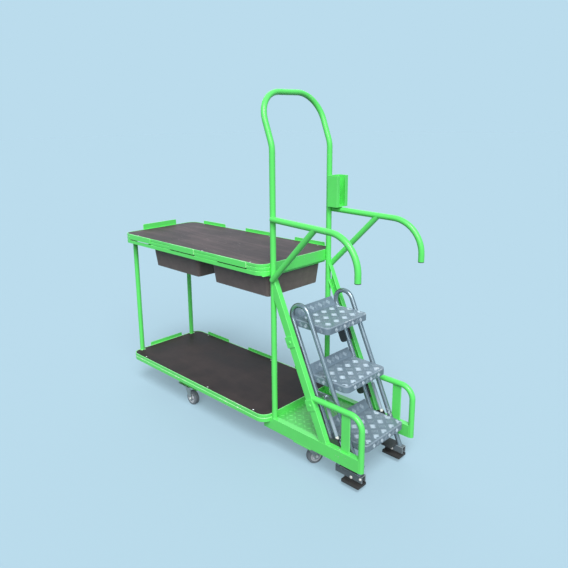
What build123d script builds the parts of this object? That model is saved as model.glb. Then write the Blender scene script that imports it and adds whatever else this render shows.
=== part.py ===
from build123d import *
import os
from math import cos, radians, sin, tan

# Step trolley. Millimetres, +X to the steps, +Y to the left, +Z up, floor at Z = 0.
# Right is the side at -Y. Sizes are true product sizes.

# Main frame tube, used for the posts, the hoop, the handrails and the guards
tube_d = 26.9
tube_wall = 2.3
weld_gap = 0.1
sheet = 3.0

# Front posts, bent into one hoop that leans back over the upper deck
post_x = 324.0
post_half = 195.0
hoop_bend_z = 1460.0
hoop_bend_r = 120.0
hoop_top_z = 1690.0
hoop_lean = 85.0
hoop_corner_r = 132.0

# Rear posts
rear_post_half = 190.0

# Decks: a rolled rim with an inner ledge, on which the board lies, and a foot flange
deck_length = 1150.5
deck_half = 255.0
deck_corner_r = 52.0
rim_skin = 4.5
rim_foot = 25.0
upper_top_z = 942.0
upper_rim_h = 53.0
lower_top_z = 201.0
lower_rim_h = 39.0
groove_w = 5.0
groove_depth = 2.5
upper_groove_1 = 14.0
upper_groove_2 = 32.0
lower_groove = 17.0
board_t = 12.0
board_recess = 1.0
board_gap = 1.0
ledge_w = 37.0
ledge_t = 3.0
post_pad_l = 27.0
post_pad_w = 30.0
bearer_w = 60.0
bearer_wall = 2.0
upper_bearer_h = 20.0
upper_bearer_pitch = 500.0
lower_bearer_h = 19.0
lower_bearer_pitch = 390.0

# Lips on the rims, three on each long side of the upper deck and the left side of the lower one, and one at each rear,
# with a slot through the rim under each lip of the upper right side
lip_t = 3.0
lip_length = 208.0
lip_pitch = 388.0
lip_corner_r = 6.0
right_lip_margin = 66.0
left_lip_margin = 60.0
rear_lip_length = 240.0
upper_lip_drop = 29.0
upper_right_lip_rise = 0.5
upper_left_lip_rise = 17.0
upper_rear_lip_rise = 31.0
lower_lip_drop = 28.0
lower_left_lip_rise = 15.5
lower_rear_lip_rise = 20.0
slot_h = 6.0

# Board screws along the long edges of both boards
screw_d = 10.0
screw_h = 3.0
screw_sink = 0.2
screw_gap = 0.3
screw_inset = 16.5
screw_rear = 129.0
screw_mid = 709.0
screw_front_inset = 91.5

# Handrails, which flare and fall a little to the front, and their braces
handrail_z = 1146.0
handrail_offset = 13.5
handrail_start = 12.0
handrail_reach = 492.0
handrail_end_z = 955.0
handrail_bend_r = 150.0
handrail_flare = 2.7
handrail_fall = 2.0
brace_low_z = 870.0
brace_start = 8.0
brace_reach = 268.0
plug_head = 3.5
plug_depth = 14.0
plug_gap = 0.2

# Hand scanner holder on the left front post
holder_width = 82.0
holder_depth = 58.0
holder_height = 149.0
holder_lip = 20.0
holder_sheet = 2.0
holder_offset = 12.0
holder_gap = 0.5

# Chassis rails, floor plate and cross tubes
rail_w = 30.0
rail_bottom_z = 120.0
rail_top_z = 180.0
rail_wall = 2.5
rail_tongue = 46.5
floor_top_z = 171.0
floor_t = 3.0
floor_length = 303.0
cross_w = 40.0
cross_h = 25.0
cross_rear = 30.0
cross_front = 240.0

# Guide channels for the ladder
slope = 24.3
channel_foot = 388.9
channel_w = 38.0
channel_wall = 3.0
strap_h = 50.0
strap_t = 5.0
strap_depth = 16.0
strap_upper_z = 603.0
strap_lower_z = 337.0
strap_bolt_d = 12.0
strap_bolt_h = 4.0

# Guards round the foot of the ladder
guard_leg = 505.5
guard_z = 367.0
guard_bend_r = 60.0
guard_bar_inset = 83.0
guard_bar_w = 45.0
guard_bar_t = 6.0

# Trays under the upper deck, and their runners
tray_length = 384.0
tray_half = 174.0
tray_bottom_z = 768.0
tray_corner_r = 14.0
tray_wall = 2.5
tray_draft = 8.0
tray_flange = 11.0
tray_flange_t = 3.0
front_tray_mid = -247.5
rear_tray_mid = -766.0
runner_t = 2.5
runner_drop = 13.0
runner_ledge = 12.0
runner_flange = 10.0
runner_gap = 0.4
runner_side_gap = 1.5
runner_half = 198.0
runner_lap = 13.0

# Wheels
wheel_d = 80.0
tyre_w = 30.0
tyre_inner_d = 56.0
tyre_round = 6.0
hub_w = 33.0
hub_boss_d = 24.0
hub_web_t = 10.0
hub_rim_t = 5.0
axle_d = 8.0
axle_fit = 0.08
axle_head_d = 14.0
axle_head_h = 5.0
fork_gap = 36.0
fork_t = 3.0
fork_eye_r = 13.0
plate_corner_r = 6.0

# Rear castors, fixed
rear_castor_inset = 492.0
rear_castor_half = 175.0
rear_plate_z = 118.0
rear_plate_l = 100.0
rear_plate_w = 84.0
rear_fork_l = 52.0
rear_fork_set = 30.0
castor_bearer_half = 210.0
castor_bearer_w = 160.0

# Front castors, swivelling
castor_x = 509.0
castor_half = 160.0
castor_trail = 32.0
castor_turn = 70.0
castor_plate_l = 105.0
castor_plate_t = 7.0
castor_plate_in = 105.0
swivel_plate_l = 92.0
swivel_plate_w = 76.0
swivel_plate_t = 3.0
race_d = 56.0
race_h = 9.0
crown_d = 62.0
crown_t = 5.0
race_gap = 0.4
king_d = 12.0
king_head_d = 20.0
king_head_h = 4.0

# Ladder
leg_d = 22.0
leg_wall = 2.0
ladder_half = 158.0
ladder_foot = 397.8
leg_pitch = 101.2
bow_z = 715.0
tread_depth = 195.0
tread_rise = 238.0
tread_first_z = 214.0
tread_skirt = 32.0
tread_fold_r = 6.0
tread_t = 2.5
tread_corner_r = 25.0
upstand_h = 35.0
upstand_lean = 28.0
gusset_w = 45.0
gusset_tip_w = 24.0
gusset_h = 28.0
gusset_t = 4.0

# Ladder feet
foot_w = 28.0
foot_start = 352.0
foot_end = 496.0
foot_top_z = 80.0
foot_bottom_z = 48.0
foot_wall = 3.0
pad_lift = 23.0
pad_t = 11.0
pad_w = 61.0
pad_start = 395.0
pad_end = 489.0
pad_round = 5.0
pad_gap = 0.3
bolt_d = 14.0
bolt_h = 5.0
bolt_z = 57.0
bolt_along = 440.0

# Guide blocks and their pins
block_l = 60.0
block_gap = 0.4
block_w = 35.5
block_upper_z = 545.0
block_lower_z = 275.0
pin_d = 10.0
pin_fit = 0.1

# Lift struts, beside the ladder legs
strut_half = 170.0
strut_d = 16.0
strut_low_z = 217.0
strut_high_z = 335.0
strut_cap = 12.0
strut_eye_z = 160.0
strut_eye_d = 14.0
strut_pin_d = 7.0
rod_d = 8.0
rod_gap = 0.3
rod_depth = 90.0
lug_z = 378.0
lug_h = 20.0
lug_t = 8.0

# Places that follow from the sizes above
tube_r = tube_d / 2
post_front_x = post_x + tube_r
deck_front_x = post_x - tube_r
deck_rear_x = deck_front_x - deck_length
deck_mid_x = deck_front_x - deck_length / 2
upper_bottom_z = upper_top_z - upper_rim_h
lower_bottom_z = lower_top_z - lower_rim_h
runner_tab = deck_half - rim_foot + runner_lap
right_lips_x = deck_rear_x + right_lip_margin + lip_length / 2 + lip_pitch
left_lips_x = deck_front_x - left_lip_margin - lip_length / 2 - lip_pitch
rear_castor_x = deck_rear_x + rear_castor_inset
rear_fork_x = rear_castor_x - rear_fork_set
handrail_half = post_half + handrail_offset
channel_outer = post_half + tube_r
channel_inner = post_half - tube_r
guard_leg_x = post_x + guard_leg
rail_front_x = guard_leg_x - tube_wall
rail_inner = post_half - rail_w / 2
lean_sin = sin(radians(slope))
lean_cos = cos(radians(slope))
lean = tan(radians(slope))
leg_span = leg_pitch / lean_cos
rear_leg_x = post_x + ladder_foot
strut_x = rear_leg_x + leg_span / 2
tread_half = ladder_half - leg_d / 2
wheel_r = wheel_d / 2
sides = ((-1, "right"), (1, "left"))
decks = (
    ("upper", upper_top_z, upper_rim_h, (upper_groove_1, upper_groove_2)),
    ("lower", lower_top_z, lower_rim_h, (lower_groove,)),
)

os.makedirs("parts", exist_ok=True)


# Deck rims: an upright skin with rolled grooves, the board ledge and a foot flange inside
for deck, top_z, rim_h, grooves in decks:
    ledge_z = top_z - board_recess - board_t - ledge_t
    skin_hole_l = deck_length - 2 * rim_skin
    skin_hole_w = 2 * (deck_half - rim_skin)
    with BuildPart() as rim:
        with BuildSketch(Plane((deck_mid_x, 0, top_z - rim_h))):
            RectangleRounded(deck_length, 2 * deck_half, deck_corner_r)
            RectangleRounded(skin_hole_l, skin_hole_w, deck_corner_r - rim_skin, mode=Mode.SUBTRACT)
        extrude(amount=rim_h)
        for flange_z, flange_w in ((ledge_z, ledge_w), (top_z - rim_h, rim_foot)):
            with BuildSketch(Plane((deck_mid_x, 0, flange_z))):
                RectangleRounded(skin_hole_l, skin_hole_w, deck_corner_r - rim_skin)
                Rectangle(deck_length - 2 * flange_w, 2 * (deck_half - flange_w), mode=Mode.SUBTRACT)
            extrude(amount=ledge_t)
        if deck == "lower":
            with BuildSketch(Plane((deck_rear_x, 0, top_z))):
                for side, side_name in sides:
                    with Locations(((post_pad_l + rim_skin) / 2, side * rear_post_half)):
                        Rectangle(post_pad_l - rim_skin, post_pad_w)
            extrude(amount=-board_recess - board_t)
        for drop in grooves:
            with BuildSketch(Plane((deck_mid_x, 0, top_z - drop - groove_w / 2))):
                RectangleRounded(deck_length, 2 * deck_half, deck_corner_r)
                RectangleRounded(
                    deck_length - 2 * groove_depth,
                    2 * (deck_half - groove_depth),
                    deck_corner_r - groove_depth,
                    mode=Mode.SUBTRACT,
                )
                with Locations((deck_length / 2, 0)):
                    Rectangle(2 * deck_corner_r, 2 * (deck_half - deck_corner_r), mode=Mode.SUBTRACT)
            extrude(amount=groove_w, mode=Mode.SUBTRACT)
        if deck == "upper":
            with BuildSketch(Plane.XZ.offset(deck_half)):
                with Locations((right_lips_x, top_z - upper_lip_drop - slot_h / 2)):
                    with GridLocations(lip_pitch, 0, 3, 1):
                        Rectangle(lip_length, slot_h)
            extrude(amount=-rim_skin, mode=Mode.SUBTRACT)
    rim.part.label = deck + "_deck_rim"
    export_step(rim.part, "parts/" + rim.part.label + ".step")

    with BuildPart() as board:
        with BuildSketch(Plane((deck_mid_x, 0, ledge_z + ledge_t))):
            RectangleRounded(
                skin_hole_l - 2 * board_gap, skin_hole_w - 2 * board_gap, deck_corner_r - rim_skin - board_gap
            )
            if deck == "lower":
                for side, side_name in sides:
                    with Locations((post_pad_l / 2 - deck_length / 2, side * rear_post_half)):
                        Rectangle(post_pad_l + 2 * board_gap, post_pad_w + 2 * board_gap, mode=Mode.SUBTRACT)
        extrude(amount=board_t)
        with BuildSketch(Plane((deck_rear_x, 0, top_z - board_recess))):
            for side, side_name in sides:
                for along in (screw_rear, screw_mid, deck_length - screw_front_inset):
                    with Locations((along, side * (deck_half - screw_inset))):
                        Circle(screw_d / 2 + screw_gap)
        extrude(amount=-screw_h - screw_sink, mode=Mode.SUBTRACT)
    board.part.label = deck + "_deck_board"
    export_step(board.part, "parts/" + board.part.label + ".step")


# Deck bearers: flat tubes across the rims, under the board ledges
with BuildPart() as deck_bearers:
    for top_z, bearer_h, bearer_x, pitch, count in (
        (upper_top_z, upper_bearer_h, deck_mid_x, upper_bearer_pitch, 2),
        (lower_top_z, lower_bearer_h, rear_castor_x, lower_bearer_pitch, 3),
    ):
        bearer_top_z = top_z - board_recess - board_t - ledge_t
        with BuildSketch(Plane.XZ.offset(rim_foot - deck_half)):
            with Locations((bearer_x, bearer_top_z - bearer_h / 2)):
                with GridLocations(pitch, 0, count, 1):
                    Rectangle(bearer_w, bearer_h)
                    Rectangle(bearer_w - 2 * bearer_wall, bearer_h - 2 * bearer_wall, mode=Mode.SUBTRACT)
        extrude(amount=2 * (deck_half - rim_foot))
deck_bearers.part.label = "deck_bearers"
export_step(deck_bearers.part, "parts/deck_bearers.step")


# Lips: plates on the outer faces of the rims, at both long sides and the rear
upper_right_lips = (-1, right_lips_x, upper_right_lip_rise)
upper_left_lips = (1, left_lips_x, upper_left_lip_rise)
lower_left_lips = (1, left_lips_x, lower_left_lip_rise)
for deck, top_z, lip_drop, rear_rise, side_lips in (
    ("upper", upper_top_z, upper_lip_drop, upper_rear_lip_rise, (upper_right_lips, upper_left_lips)),
    ("lower", lower_top_z, lower_lip_drop, lower_rear_lip_rise, (lower_left_lips,)),
):
    with BuildPart() as lips:
        for side, lips_x, rise in side_lips:
            with BuildSketch(Plane.XZ.offset(-side * deck_half)):
                with Locations((lips_x, top_z + (rise - lip_drop) / 2)):
                    with GridLocations(lip_pitch, 0, 3, 1):
                        RectangleRounded(lip_length, rise + lip_drop, lip_corner_r)
            extrude(amount=-side * lip_t)
        with BuildSketch(Plane.YZ.offset(deck_rear_x)):
            with Locations((0, top_z + (rear_rise - lip_drop) / 2)):
                RectangleRounded(rear_lip_length, rear_rise + lip_drop, lip_corner_r)
        extrude(amount=-lip_t)
    lips.part.label = deck + "_lips"
    export_step(lips.part, "parts/" + lips.part.label + ".step")


# Deck screws: heads sunk in the boards along the long edges
with BuildPart() as deck_screws:
    for deck, top_z, rim_h, grooves in decks:
        with BuildSketch(Plane((deck_rear_x, 0, top_z - board_recess - screw_sink))):
            for side, side_name in sides:
                for along in (screw_rear, screw_mid, deck_length - screw_front_inset):
                    with Locations((along, side * (deck_half - screw_inset))):
                        Circle(screw_d / 2)
        extrude(amount=-screw_h)
deck_screws.part.label = "deck_screws"
export_step(deck_screws.part, "parts/deck_screws.step")


# Front posts and hoop: one tube from rail to rail
with BuildPart() as hoop_post:
    with BuildLine() as hoop_line:
        FilletPolyline(
            (post_x, -post_half, rail_top_z),
            (post_x, -post_half, hoop_bend_z),
            (post_x - hoop_lean, -post_half, hoop_top_z),
            (post_x - hoop_lean, post_half, hoop_top_z),
            (post_x, post_half, hoop_bend_z),
            (post_x, post_half, rail_top_z),
            radius=(hoop_bend_r, hoop_corner_r, hoop_corner_r, hoop_bend_r),
        )
    with BuildSketch(Plane.XY.offset(rail_top_z)):
        with Locations((post_x, -post_half)):
            Circle(tube_r)
            Circle(tube_r - tube_wall, mode=Mode.SUBTRACT)
    sweep(path=hoop_line.wires()[0])
hoop_post.part.label = "hoop_post"
export_step(hoop_post.part, "parts/hoop_post.step")


# Rear posts: straight tubes from the lower rim to the upper one
for side, side_name in sides:
    with BuildPart() as rear_post:
        with BuildSketch(Plane((deck_rear_x + rim_foot / 2, side * rear_post_half, lower_top_z))):
            Circle(tube_r)
            Circle(tube_r - tube_wall, mode=Mode.SUBTRACT)
        extrude(amount=upper_bottom_z - lower_top_z)
    rear_post.part.label = "rear_post_" + side_name
    export_step(rear_post.part, "parts/" + rear_post.part.label + ".step")


# Handrails: closed round ends fitted to the posts, from there to the front, and down at the end
flare_sin = sin(radians(handrail_flare))
flare_cos = cos(radians(handrail_flare))
fall = tan(radians(handrail_fall))
plug_list = []
grip_planes = []
for side, side_name in sides:
    grip_plane = Plane(
        (post_x, side * handrail_half, 0),
        x_dir=(flare_cos, side * flare_sin, 0),
        z_dir=(side * flare_sin, -flare_cos, 0),
    )
    with BuildPart() as handrail:
        with BuildLine(grip_plane) as handrail_line:
            FilletPolyline(
                (handrail_start, handrail_z - fall * handrail_start),
                (handrail_reach, handrail_z - fall * handrail_reach),
                (handrail_reach, handrail_end_z),
                radius=handrail_bend_r,
            )
        root_plane = Plane(handrail_line.line @ 0, z_dir=handrail_line.line % 0)
        with BuildSketch(root_plane):
            Circle(tube_r)
            Circle(tube_r - tube_wall, mode=Mode.SUBTRACT)
        sweep(path=handrail_line.wires()[0])
        with Locations(root_plane):
            Sphere(tube_r)
        with BuildSketch(Plane.XY.offset(upper_top_z)):
            with Locations((post_x, side * post_half)):
                Circle(tube_r + weld_gap)
        extrude(amount=hoop_bend_z - upper_top_z, mode=Mode.SUBTRACT)
    handrail.part.label = "handrail_" + side_name
    export_step(handrail.part, "parts/" + handrail.part.label + ".step")

    grip_planes.append((side, grip_plane, root_plane))
    plug_list.append(Plane(handrail_line.line @ 1, z_dir=handrail_line.line % 1))

# Handrail braces: from the post up to the handrail, with a round lower end, cut to fit both and the guide channel
channel_x = post_x + channel_foot
with BuildPart() as handrail_braces:
    for side, grip_plane, root_plane in grip_planes:
        with BuildLine(grip_plane) as brace_line:
            Line((brace_start, brace_low_z), (brace_reach, handrail_z - fall * brace_reach))
        brace_plane = Plane(brace_line.line @ 0, z_dir=brace_line.line % 0)
        with BuildSketch(brace_plane):
            Circle(tube_r)
            Circle(tube_r - tube_wall, mode=Mode.SUBTRACT)
        sweep(path=brace_line.wires()[0])
        with Locations(brace_plane):
            Sphere(tube_r)
        with BuildSketch(root_plane):
            Circle(tube_r + weld_gap)
        extrude(amount=handrail_reach, mode=Mode.SUBTRACT)
        with BuildSketch(Plane.XY.offset(rail_top_z)):
            with Locations((post_x, side * post_half)):
                Circle(tube_r + weld_gap)
        extrude(amount=handrail_z - rail_top_z, mode=Mode.SUBTRACT)
        with BuildSketch(
            Plane((channel_x, side * post_half, 0), x_dir=(lean_cos, 0, lean_sin), z_dir=(-lean_sin, 0, lean_cos))
        ):
            Rectangle(channel_w + 2 * weld_gap, tube_d + 2 * weld_gap)
        extrude(amount=handrail_z, mode=Mode.SUBTRACT)
handrail_braces.part.label = "handrail_braces"
export_step(handrail_braces.part, "parts/handrail_braces.step")

# Handrail plugs: pressed into the front ends of the handrails
with BuildPart() as handrail_plugs:
    for plug_plane in plug_list:
        with BuildSketch(plug_plane):
            Circle(tube_r)
        extrude(amount=plug_head)
        with BuildSketch(plug_plane):
            Circle(tube_r - tube_wall - plug_gap)
        extrude(amount=-plug_depth)
handrail_plugs.part.label = "handrail_plugs"
export_step(handrail_plugs.part, "parts/handrail_plugs.step")


# Scanner holder: a lipped pocket with a floor, on the front of the left post
holder_mid_y = post_half + holder_offset
holder_bottom_z = handrail_z + tube_r + holder_gap
with BuildPart() as scanner_holder:
    with BuildSketch(Plane((post_front_x + holder_depth / 2, holder_mid_y, holder_bottom_z))):
        Rectangle(holder_depth, holder_width)
        Rectangle(holder_depth - 2 * holder_sheet, holder_width - 2 * holder_sheet, mode=Mode.SUBTRACT)
        with Locations((holder_depth / 2, 0)):
            Rectangle(3 * holder_sheet, holder_width - 2 * holder_lip, mode=Mode.SUBTRACT)
    extrude(amount=holder_height)
    with BuildSketch(Plane((post_front_x + holder_depth / 2, holder_mid_y, holder_bottom_z))):
        Rectangle(holder_depth, holder_width)
    extrude(amount=holder_sheet)
scanner_holder.part.label = "scanner_holder"
export_step(scanner_holder.part, "parts/scanner_holder.step")


# Chassis rails: box tubes from under the lower rim to the guards, cut to fit round the guard legs
for side, side_name in sides:
    with BuildPart() as chassis_rail:
        with BuildSketch(Plane.YZ.offset(deck_front_x - rail_tongue)):
            with Locations((side * post_half, (rail_top_z + rail_bottom_z) / 2)):
                Rectangle(rail_w, rail_top_z - rail_bottom_z)
                Rectangle(rail_w - 2 * rail_wall, rail_top_z - rail_bottom_z - 2 * rail_wall, mode=Mode.SUBTRACT)
        extrude(amount=rail_front_x - deck_front_x + rail_tongue)
        with BuildSketch(Plane.XY.offset(lower_bottom_z)):
            with Locations((deck_front_x - rail_tongue / 2, side * post_half)):
                Rectangle(rail_tongue, rail_w)
        extrude(amount=rail_top_z - lower_bottom_z, mode=Mode.SUBTRACT)
        with BuildSketch(Plane.XY.offset(rail_bottom_z)):
            with Locations((guard_leg_x, side * post_half)):
                Circle(tube_r + weld_gap)
        extrude(amount=rail_top_z - rail_bottom_z, mode=Mode.SUBTRACT)
    chassis_rail.part.label = "chassis_rail_" + side_name
    export_step(chassis_rail.part, "parts/" + chassis_rail.part.label + ".step")


# Floor plate between the rails, folded down along its front edge
with BuildPart() as floor_plate:
    with BuildSketch(Plane.XZ.offset(-rail_inner)):
        with BuildLine():
            Polyline(
                (deck_front_x, floor_top_z),
                (deck_front_x + floor_length, floor_top_z),
                (deck_front_x + floor_length, floor_top_z - cross_h),
                (deck_front_x + floor_length - floor_t, floor_top_z - cross_h),
                (deck_front_x + floor_length - floor_t, floor_top_z - floor_t),
                (deck_front_x, floor_top_z - floor_t),
                close=True,
            )
        make_face()
    extrude(amount=2 * rail_inner)
floor_plate.part.label = "floor_plate"
export_step(floor_plate.part, "parts/floor_plate.step")


# Cross members: two box tubes between the rails, and the bearer over the rear castors
with BuildPart() as cross_members:
    with BuildSketch(Plane.XZ.offset(-rail_inner)):
        for along in (cross_rear, cross_front):
            with Locations((deck_front_x + along, floor_top_z - floor_t - cross_h / 2)):
                Rectangle(cross_w, cross_h)
                Rectangle(cross_w - 2 * bearer_wall, cross_h - 2 * bearer_wall, mode=Mode.SUBTRACT)
    extrude(amount=2 * rail_inner)
    bearer_low_z = lower_top_z - board_recess - board_t - ledge_t - lower_bearer_h
    castor_bearer_h = bearer_low_z - rear_plate_z
    with BuildSketch(Plane.XZ.offset(-castor_bearer_half)):
        with Locations((rear_castor_x, rear_plate_z + castor_bearer_h / 2)):
            Rectangle(castor_bearer_w, castor_bearer_h)
            Rectangle(castor_bearer_w - 2 * sheet, castor_bearer_h - 2 * sheet, mode=Mode.SUBTRACT)
    extrude(amount=2 * castor_bearer_half)
cross_members.part.label = "cross_members"
export_step(cross_members.part, "parts/cross_members.step")


# Guide channels: open to the ladder, cut at the post and on the rail
channel_length = (channel_foot + channel_w) / lean_sin
for side, side_name in sides:
    channel_plane = Plane(
        (channel_x, side * post_half, 0), x_dir=(lean_cos, 0, lean_sin), z_dir=(-lean_sin, 0, lean_cos)
    )
    with BuildPart() as guide_channel:
        with BuildSketch(channel_plane):
            Rectangle(channel_w, tube_d)
            with Locations((0, -side * channel_wall / 2)):
                Rectangle(channel_w - 2 * channel_wall, tube_d - channel_wall, mode=Mode.SUBTRACT)
        extrude(amount=channel_length)
        split(bisect_by=Plane.YZ.offset(post_front_x), keep=Keep.TOP)
        split(bisect_by=Plane.XY.offset(rail_top_z), keep=Keep.TOP)
    guide_channel.part.label = "guide_channel_" + side_name
    export_step(guide_channel.part, "parts/" + guide_channel.part.label + ".step")


# Guide straps: angles over the outer and rear sides of the channels, each held by one bolt
with BuildPart() as guide_straps:
    for side, side_name in sides:
        for strap_z in (strap_upper_z, strap_lower_z):
            strap_plane = Plane(
                (channel_x - lean * strap_z, side * channel_outer, strap_z),
                x_dir=(lean_cos, 0, lean_sin),
                z_dir=(0, -1, 0),
            )
            with BuildSketch(strap_plane):
                with Locations((-strap_t / 2, 0)):
                    Rectangle(channel_w + strap_t, strap_h)
            extrude(amount=-side * strap_t)
            with BuildSketch(strap_plane):
                with Locations((-(channel_w + strap_t) / 2, 0)):
                    Rectangle(strap_t, strap_h)
            extrude(amount=side * strap_depth)
            with BuildSketch(strap_plane.offset(-side * strap_t)):
                Circle(strap_bolt_d / 2)
            extrude(amount=-side * strap_bolt_h)
guide_straps.part.label = "guide_straps"
export_step(guide_straps.part, "parts/guide_straps.step")


# Guard hoops: from the guide channel to the front, and down past the end of the rail
guard_root_x = channel_x + channel_w / 2 / lean_cos - lean * guard_z
for side, side_name in sides:
    with BuildPart() as guard_hoop:
        with BuildLine(Plane.XZ.offset(-side * post_half)) as guard_line:
            FilletPolyline(
                (guard_root_x - tube_d, guard_z),
                (guard_leg_x, guard_z),
                (guard_leg_x, rail_bottom_z),
                radius=guard_bend_r,
            )
        with BuildSketch(Plane(guard_line.line @ 0, z_dir=guard_line.line % 0)):
            Circle(tube_r)
            Circle(tube_r - tube_wall, mode=Mode.SUBTRACT)
        sweep(path=guard_line.wires()[0])
        split(bisect_by=Plane((guard_root_x, 0, guard_z), z_dir=(lean_cos, 0, lean_sin)), keep=Keep.TOP)
    guard_hoop.part.label = "guard_hoop_" + side_name
    export_step(guard_hoop.part, "parts/" + guard_hoop.part.label + ".step")


# Guard bars: flat uprights from the rail to the guard
with BuildPart() as guard_bars:
    with BuildSketch(Plane.XY.offset(rail_top_z)):
        for side, side_name in sides:
            with Locations((guard_leg_x - guard_bar_inset, side * post_half)):
                Rectangle(guard_bar_w, guard_bar_t)
    extrude(amount=guard_z - tube_r - rail_top_z)
guard_bars.part.label = "guard_bars"
export_step(guard_bars.part, "parts/guard_bars.step")


# Trays: drafted tubs with a flange that hangs on the runners
tray_top_z = upper_bottom_z - runner_drop + runner_t + runner_gap + tray_flange_t
tray_h = tray_top_z - tray_bottom_z
tray_spread = tray_h * tan(radians(tray_draft))
for tray_name, tray_mid in (("tray_front", front_tray_mid), ("tray_rear", rear_tray_mid)):
    with BuildPart() as tray:
        with BuildSketch(Plane((post_x + tray_mid, 0, tray_bottom_z))):
            RectangleRounded(tray_length, 2 * tray_half, tray_corner_r)
        extrude(amount=tray_h, taper=-tray_draft)
        with BuildSketch(Plane((post_x + tray_mid, 0, tray_top_z - tray_flange_t))):
            RectangleRounded(
                tray_length + 2 * (tray_spread + tray_flange),
                2 * (tray_half + tray_spread + tray_flange),
                tray_corner_r + tray_spread,
            )
        extrude(amount=tray_flange_t)
        with BuildSketch(Plane((post_x + tray_mid, 0, tray_bottom_z + tray_wall))):
            RectangleRounded(tray_length - 2 * tray_wall, 2 * (tray_half - tray_wall), tray_corner_r - tray_wall)
        extrude(amount=tray_h, taper=-tray_draft, mode=Mode.SUBTRACT)
    tray.part.label = tray_name
    export_step(tray.part, "parts/" + tray_name + ".step")


# Tray runners: folded strips across the deck, at both ends of each tray, with tabs that reach under the rims
runner_low_z = upper_bottom_z - runner_drop
runner_reach = tray_length / 2 + tray_spread + tray_flange + runner_side_gap
with BuildPart() as tray_runners:
    for tray_mid in (front_tray_mid, rear_tray_mid):
        for end in (-1, 1):
            web_x = post_x + tray_mid + end * runner_reach
            with BuildSketch(Plane.XZ.offset(-runner_half)):
                with BuildLine():
                    Polyline(
                        (web_x - end * runner_ledge, runner_low_z),
                        (web_x + end * runner_t, runner_low_z),
                        (web_x + end * runner_t, upper_bottom_z - runner_t),
                        (web_x + end * (runner_t + runner_flange), upper_bottom_z - runner_t),
                        (web_x + end * (runner_t + runner_flange), upper_bottom_z),
                        (web_x, upper_bottom_z),
                        (web_x, runner_low_z + runner_t),
                        (web_x - end * runner_ledge, runner_low_z + runner_t),
                        close=True,
                    )
                make_face()
            extrude(amount=2 * runner_half)
            with BuildSketch(Plane((web_x + end * (runner_t + runner_flange) / 2, 0, upper_bottom_z))):
                Rectangle(runner_t + runner_flange, 2 * runner_tab)
            extrude(amount=-runner_t)
tray_runners.part.label = "tray_runners"
export_step(tray_runners.part, "parts/tray_runners.step")


# Rear castors: fixed forks that lean back from the axles, axles, hubs and tyres
with BuildPart() as rear_castor_forks:
    for side, side_name in sides:
        castor_y = side * rear_castor_half
        with BuildSketch(Plane((rear_fork_x, castor_y, rear_plate_z))):
            RectangleRounded(rear_plate_l, rear_plate_w, plate_corner_r)
        extrude(amount=-fork_t)
        for cheek in (-1, 1):
            cheek_y = castor_y + cheek * (fork_gap / 2 + fork_t / 2)
            with BuildSketch(Plane.XZ.offset(-cheek_y)):
                with BuildLine():
                    Polyline(
                        (rear_fork_x - rear_fork_l / 2, rear_plate_z - fork_t),
                        (rear_fork_x + rear_fork_l / 2, rear_plate_z - fork_t),
                        (rear_castor_x + fork_eye_r, wheel_r),
                        (rear_castor_x - fork_eye_r, wheel_r),
                        close=True,
                    )
                make_face()
                with Locations((rear_castor_x, wheel_r)):
                    Circle(fork_eye_r)
                    Circle(axle_d / 2 + axle_fit, mode=Mode.SUBTRACT)
            extrude(amount=fork_t / 2, both=True)
rear_castor_forks.part.label = "rear_castor_forks"
export_step(rear_castor_forks.part, "parts/rear_castor_forks.step")

with BuildPart() as rear_axles:
    for side, side_name in sides:
        castor_y = side * rear_castor_half
        with BuildSketch(Plane.XZ.offset(-castor_y)):
            with Locations((rear_castor_x, wheel_r)):
                Circle(axle_d / 2)
        extrude(amount=fork_gap / 2 + fork_t, both=True)
        for cheek in (-1, 1):
            with BuildSketch(Plane.XZ.offset(-castor_y - cheek * (fork_gap / 2 + fork_t))):
                with Locations((rear_castor_x, wheel_r)):
                    RegularPolygon(axle_head_d / 2, 6)
            extrude(amount=-cheek * axle_head_h)
rear_axles.part.label = "rear_axles"
export_step(rear_axles.part, "parts/rear_axles.step")


# Front castors: plates under the rails, swivel bases with king pins, forks and axles
with BuildPart() as castor_plates:
    with BuildSketch(Plane.XY.offset(rail_bottom_z)):
        for side, side_name in sides:
            plate_out = post_half + rail_w / 2
            with Locations((castor_x, side * (plate_out + castor_plate_in) / 2)):
                Rectangle(castor_plate_l, plate_out - castor_plate_in)
    extrude(amount=-castor_plate_t)
castor_plates.part.label = "castor_plates"
export_step(castor_plates.part, "parts/castor_plates.step")

swivel_top_z = rail_bottom_z - castor_plate_t
race_low_z = swivel_top_z - swivel_plate_t - race_h
crown_top_z = race_low_z - race_gap
with BuildPart() as swivel_bases:
    for side, side_name in sides:
        with BuildSketch(Plane((castor_x, side * castor_half, swivel_top_z))):
            RectangleRounded(swivel_plate_l, swivel_plate_w, plate_corner_r)
        extrude(amount=-swivel_plate_t)
        with BuildSketch(Plane((castor_x, side * castor_half, swivel_top_z - swivel_plate_t))):
            Circle(race_d / 2)
        extrude(amount=-race_h)
        with BuildSketch(Plane((castor_x, side * castor_half, race_low_z))):
            Circle(king_d / 2)
        extrude(amount=-2 * race_gap - crown_t)
        with BuildSketch(Plane((castor_x, side * castor_half, crown_top_z - crown_t - race_gap))):
            Circle(king_head_d / 2)
        extrude(amount=-king_head_h)
swivel_bases.part.label = "swivel_bases"
export_step(swivel_bases.part, "parts/swivel_bases.step")

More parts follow.
